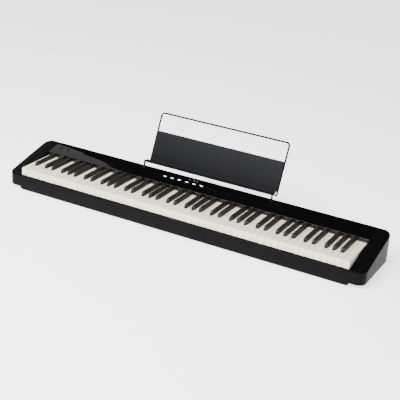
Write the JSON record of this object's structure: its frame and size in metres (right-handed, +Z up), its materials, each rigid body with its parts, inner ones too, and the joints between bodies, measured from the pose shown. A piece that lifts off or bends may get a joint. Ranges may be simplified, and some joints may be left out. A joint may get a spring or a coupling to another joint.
{
  "type": "digital piano",
  "caption": "Slim slab digital piano with a full keyboard of hinged keys, gloss top panel, sloping end blocks and a lift-off wire music rest.",
  "frame": {"origin": "on the surface that the feet stand on, below the middle of the whole object with its music rest in place", "axes": "+X along the keyboard towards the treble end, +Y from the player towards the back, +Z up"},
  "size_m": [1.329, 0.3333, 0.2819],
  "materials": {
    "case_satin": "black moulded plastic, fine satin grain",
    "panel_gloss": "piano-black gloss",
    "base_matte": "black moulded plastic, matt",
    "key_ivory": "off-white key top with a fine matt ivory-like grain",
    "key_ebony": "dark grey-black key with a fine ebony-like grain",
    "red_felt": "dark red wool felt",
    "grey_felt": "grey wool felt",
    "rest_sheet": "dark slate-grey plastic sheet, satin",
    "rest_wire": "black powder-coated wire",
    "rubber": "matt black rubber",
    "steel": "plain sheet steel",
    "board": "green circuit board",
    "jack": "black moulded socket",
    "paper_cone": "black paper cone and pressed frame",
    "light_guide": "translucent white light guide"
  },
  "bodies": {
    "case": {"lower_case": "base_matte", "left_end_block": "case_satin", "right_end_block": "case_satin", "front_rail": "case_satin", "top_panel": "panel_gloss", "rear_cover": "case_satin", "foot_front_left": "rubber", "foot_front_right": "rubber", "foot_rear_left": "rubber", "foot_rear_right": "rubber", "key_felt": "red_felt", "key_frame": "steel", "key_stop_felt": "grey_felt", "light_guide": "light_guide", "touch_board": "board", "speaker_left": "paper_cone", "speaker_right": "paper_cone", "main_board": "board", "jack_board": "board", "phones_jack_1": "jack", "phones_jack_2": "jack", "pedal_jack": "jack", "dc_inlet": "jack", "usb_port": "steel", "rest_socket_left": "rubber", "rest_socket_right": "rubber"},
    "naturals_octave_0": {"naturals_octave_0": "key_ivory"},
    "sharps_octave_0": {"sharps_octave_0": "key_ebony"},
    "naturals_octave_1": {"naturals_octave_1": "key_ivory"},
    "sharps_octave_1": {"sharps_octave_1": "key_ebony"},
    "naturals_octave_2": {"naturals_octave_2": "key_ivory"},
    "sharps_octave_2": {"sharps_octave_2": "key_ebony"},
    "naturals_octave_3": {"naturals_octave_3": "key_ivory"},
    "sharps_octave_3": {"sharps_octave_3": "key_ebony"},
    "key_C4": {"key_C4": "key_ivory"},
    "key_D4": {"key_D4": "key_ivory"},
    "key_E4": {"key_E4": "key_ivory"},
    "key_F4": {"key_F4": "key_ivory"},
    "key_G4": {"key_G4": "key_ivory"},
    "key_A4": {"key_A4": "key_ivory"},
    "key_B4": {"key_B4": "key_ivory"},
    "key_C4_sharp": {"key_C4_sharp": "key_ebony"},
    "key_D4_sharp": {"key_D4_sharp": "key_ebony"},
    "key_F4_sharp": {"key_F4_sharp": "key_ebony"},
    "key_G4_sharp": {"key_G4_sharp": "key_ebony"},
    "key_A4_sharp": {"key_A4_sharp": "key_ebony"},
    "naturals_octave_5": {"naturals_octave_5": "key_ivory"},
    "sharps_octave_5": {"sharps_octave_5": "key_ebony"},
    "naturals_octave_6": {"naturals_octave_6": "key_ivory"},
    "sharps_octave_6": {"sharps_octave_6": "key_ebony"},
    "naturals_octave_7": {"naturals_octave_7": "key_ivory"},
    "sharps_octave_7": {"sharps_octave_7": "key_ebony"},
    "power_button": {"power_button": "case_satin"},
    "volume_dial": {"volume_dial": "case_satin"},
    "music_rest": {"music_rest_wire": "rest_wire", "music_rest_bar": "rest_wire", "music_rest_panel": "rest_sheet"}
  },
  "joints": [
    {"name": "naturals_octave_0_hinge", "type": "hinge", "parent": "case", "child": "naturals_octave_0", "pos_m": [-0.5875, 0.04524, 0.0691], "axis": [1, 0, 0], "range_deg": [0, 2.8], "stiffness_Nm_per_rad": 1, "springref_deg": -8.59},
    {"name": "sharps_octave_0_hinge", "type": "hinge", "parent": "case", "child": "sharps_octave_0", "pos_m": [-0.58414, 0.03124, 0.04985], "axis": [1, 0, 0], "range_deg": [0, 3.4], "stiffness_Nm_per_rad": 0.5, "springref_deg": -8.59},
    {"name": "naturals_octave_1_hinge", "type": "hinge", "parent": "case", "child": "naturals_octave_1", "pos_m": [-0.48175, 0.04524, 0.0691], "axis": [1, 0, 0], "range_deg": [0, 2.8], "stiffness_Nm_per_rad": 3.5, "springref_deg": -8.59},
    {"name": "sharps_octave_1_hinge", "type": "hinge", "parent": "case", "child": "sharps_octave_1", "pos_m": [-0.48125, 0.03124, 0.04985], "axis": [1, 0, 0], "range_deg": [0, 3.4], "stiffness_Nm_per_rad": 2.5, "springref_deg": -8.59},
    {"name": "naturals_octave_2_hinge", "type": "hinge", "parent": "case", "child": "naturals_octave_2", "pos_m": [-0.31725, 0.04524, 0.0691], "axis": [1, 0, 0], "range_deg": [0, 2.8], "stiffness_Nm_per_rad": 3.5, "springref_deg": -8.59},
    {"name": "sharps_octave_2_hinge", "type": "hinge", "parent": "case", "child": "sharps_octave_2", "pos_m": [-0.31675, 0.03124, 0.04985], "axis": [1, 0, 0], "range_deg": [0, 3.4], "stiffness_Nm_per_rad": 2.5, "springref_deg": -8.59},
    {"name": "naturals_octave_3_hinge", "type": "hinge", "parent": "case", "child": "naturals_octave_3", "pos_m": [-0.15275, 0.04524, 0.0691], "axis": [1, 0, 0], "range_deg": [0, 2.8], "stiffness_Nm_per_rad": 3.5, "springref_deg": -8.59},
    {"name": "sharps_octave_3_hinge", "type": "hinge", "parent": "case", "child": "sharps_octave_3", "pos_m": [-0.15225, 0.03124, 0.04985], "axis": [1, 0, 0], "range_deg": [0, 3.4], "stiffness_Nm_per_rad": 2.5, "springref_deg": -8.59},
    {"name": "key_C4_hinge", "type": "hinge", "parent": "case", "child": "key_C4", "pos_m": [-0.05875, 0.04524, 0.0691], "axis": [1, 0, 0], "range_deg": [0, 2.8], "stiffness_Nm_per_rad": 0.5, "springref_deg": -8.59},
    {"name": "key_D4_hinge", "type": "hinge", "parent": "case", "child": "key_D4", "pos_m": [-0.03525, 0.04524, 0.0691], "axis": [1, 0, 0], "range_deg": [0, 2.8], "stiffness_Nm_per_rad": 0.5, "springref_deg": -8.59},
    {"name": "key_E4_hinge", "type": "hinge", "parent": "case", "child": "key_E4", "pos_m": [-0.01175, 0.04524, 0.0691], "axis": [1, 0, 0], "range_deg": [0, 2.8], "stiffness_Nm_per_rad": 0.5, "springref_deg": -8.59},
    {"name": "key_F4_hinge", "type": "hinge", "parent": "case", "child": "key_F4", "pos_m": [0.01175, 0.04524, 0.0691], "axis": [1, 0, 0], "range_deg": [0, 2.8], "stiffness_Nm_per_rad": 0.5, "springref_deg": -8.59},
    {"name": "key_G4_hinge", "type": "hinge", "parent": "case", "child": "key_G4", "pos_m": [0.03525, 0.04524, 0.0691], "axis": [1, 0, 0], "range_deg": [0, 2.8], "stiffness_Nm_per_rad": 0.5, "springref_deg": -8.59},
    {"name": "key_A4_hinge", "type": "hinge", "parent": "case", "child": "key_A4", "pos_m": [0.05875, 0.04524, 0.0691], "axis": [1, 0, 0], "range_deg": [0, 2.8], "stiffness_Nm_per_rad": 0.5, "springref_deg": -8.59},
    {"name": "key_B4_hinge", "type": "hinge", "parent": "case", "child": "key_B4", "pos_m": [0.08225, 0.04524, 0.0691], "axis": [1, 0, 0], "range_deg": [0, 2.8], "stiffness_Nm_per_rad": 0.5, "springref_deg": -8.59},
    {"name": "key_C4_sharp_hinge", "type": "hinge", "parent": "case", "child": "key_C4_sharp", "pos_m": [-0.04935, 0.03124, 0.04985], "axis": [1, 0, 0], "range_deg": [0, 3.4], "stiffness_Nm_per_rad": 0.5, "springref_deg": -8.59},
    {"name": "key_D4_sharp_hinge", "type": "hinge", "parent": "case", "child": "key_D4_sharp", "pos_m": [-0.02115, 0.03124, 0.04985], "axis": [1, 0, 0], "range_deg": [0, 3.4], "stiffness_Nm_per_rad": 0.5, "springref_deg": -8.59},
    {"name": "key_F4_sharp_hinge", "type": "hinge", "parent": "case", "child": "key_F4_sharp", "pos_m": [0.02014, 0.03124, 0.04985], "axis": [1, 0, 0], "range_deg": [0, 3.4], "stiffness_Nm_per_rad": 0.5, "springref_deg": -8.59},
    {"name": "key_G4_sharp_hinge", "type": "hinge", "parent": "case", "child": "key_G4_sharp", "pos_m": [0.047, 0.03124, 0.04985], "axis": [1, 0, 0], "range_deg": [0, 3.4], "stiffness_Nm_per_rad": 0.5, "springref_deg": -8.59},
    {"name": "key_A4_sharp_hinge", "type": "hinge", "parent": "case", "child": "key_A4_sharp", "pos_m": [0.07386, 0.03124, 0.04985], "axis": [1, 0, 0], "range_deg": [0, 3.4], "stiffness_Nm_per_rad": 0.5, "springref_deg": -8.59},
    {"name": "naturals_octave_5_hinge", "type": "hinge", "parent": "case", "child": "naturals_octave_5", "pos_m": [0.17625, 0.04524, 0.0691], "axis": [1, 0, 0], "range_deg": [0, 2.8], "stiffness_Nm_per_rad": 3.5, "springref_deg": -8.59},
    {"name": "sharps_octave_5_hinge", "type": "hinge", "parent": "case", "child": "sharps_octave_5", "pos_m": [0.17675, 0.03124, 0.04985], "axis": [1, 0, 0], "range_deg": [0, 3.4], "stiffness_Nm_per_rad": 2.5, "springref_deg": -8.59},
    {"name": "naturals_octave_6_hinge", "type": "hinge", "parent": "case", "child": "naturals_octave_6", "pos_m": [0.34075, 0.04524, 0.0691], "axis": [1, 0, 0], "range_deg": [0, 2.8], "stiffness_Nm_per_rad": 3.5, "springref_deg": -8.59},
    {"name": "sharps_octave_6_hinge", "type": "hinge", "parent": "case", "child": "sharps_octave_6", "pos_m": [0.34125, 0.03124, 0.04985], "axis": [1, 0, 0], "range_deg": [0, 3.4], "stiffness_Nm_per_rad": 2.5, "springref_deg": -8.59},
    {"name": "naturals_octave_7_hinge", "type": "hinge", "parent": "case", "child": "naturals_octave_7", "pos_m": [0.517, 0.04524, 0.0691], "axis": [1, 0, 0], "range_deg": [0, 2.8], "stiffness_Nm_per_rad": 4, "springref_deg": -8.59},
    {"name": "sharps_octave_7_hinge", "type": "hinge", "parent": "case", "child": "sharps_octave_7", "pos_m": [0.50575, 0.03124, 0.04985], "axis": [1, 0, 0], "range_deg": [0, 3.4], "stiffness_Nm_per_rad": 2.5, "springref_deg": -8.59},
    {"name": "power_button_press", "type": "slide", "parent": "case", "child": "power_button", "axis": [0, 0.2386, -0.9711], "range_m": [0, 0.001], "stiffness_N_per_m": 400, "springref_m": -0.001},
    {"name": "volume_dial_turn", "type": "hinge", "parent": "case", "child": "volume_dial", "pos_m": [-0.584, 0.03577, 0.09667], "axis": [0, 0.9711, 0.2386], "range_deg": [-140, 140]},
    {"name": "music_rest_lift", "type": "slide", "parent": "case", "child": "music_rest", "axis": [0, 0, 1], "range_m": [0, 0.03]}
  ]
}
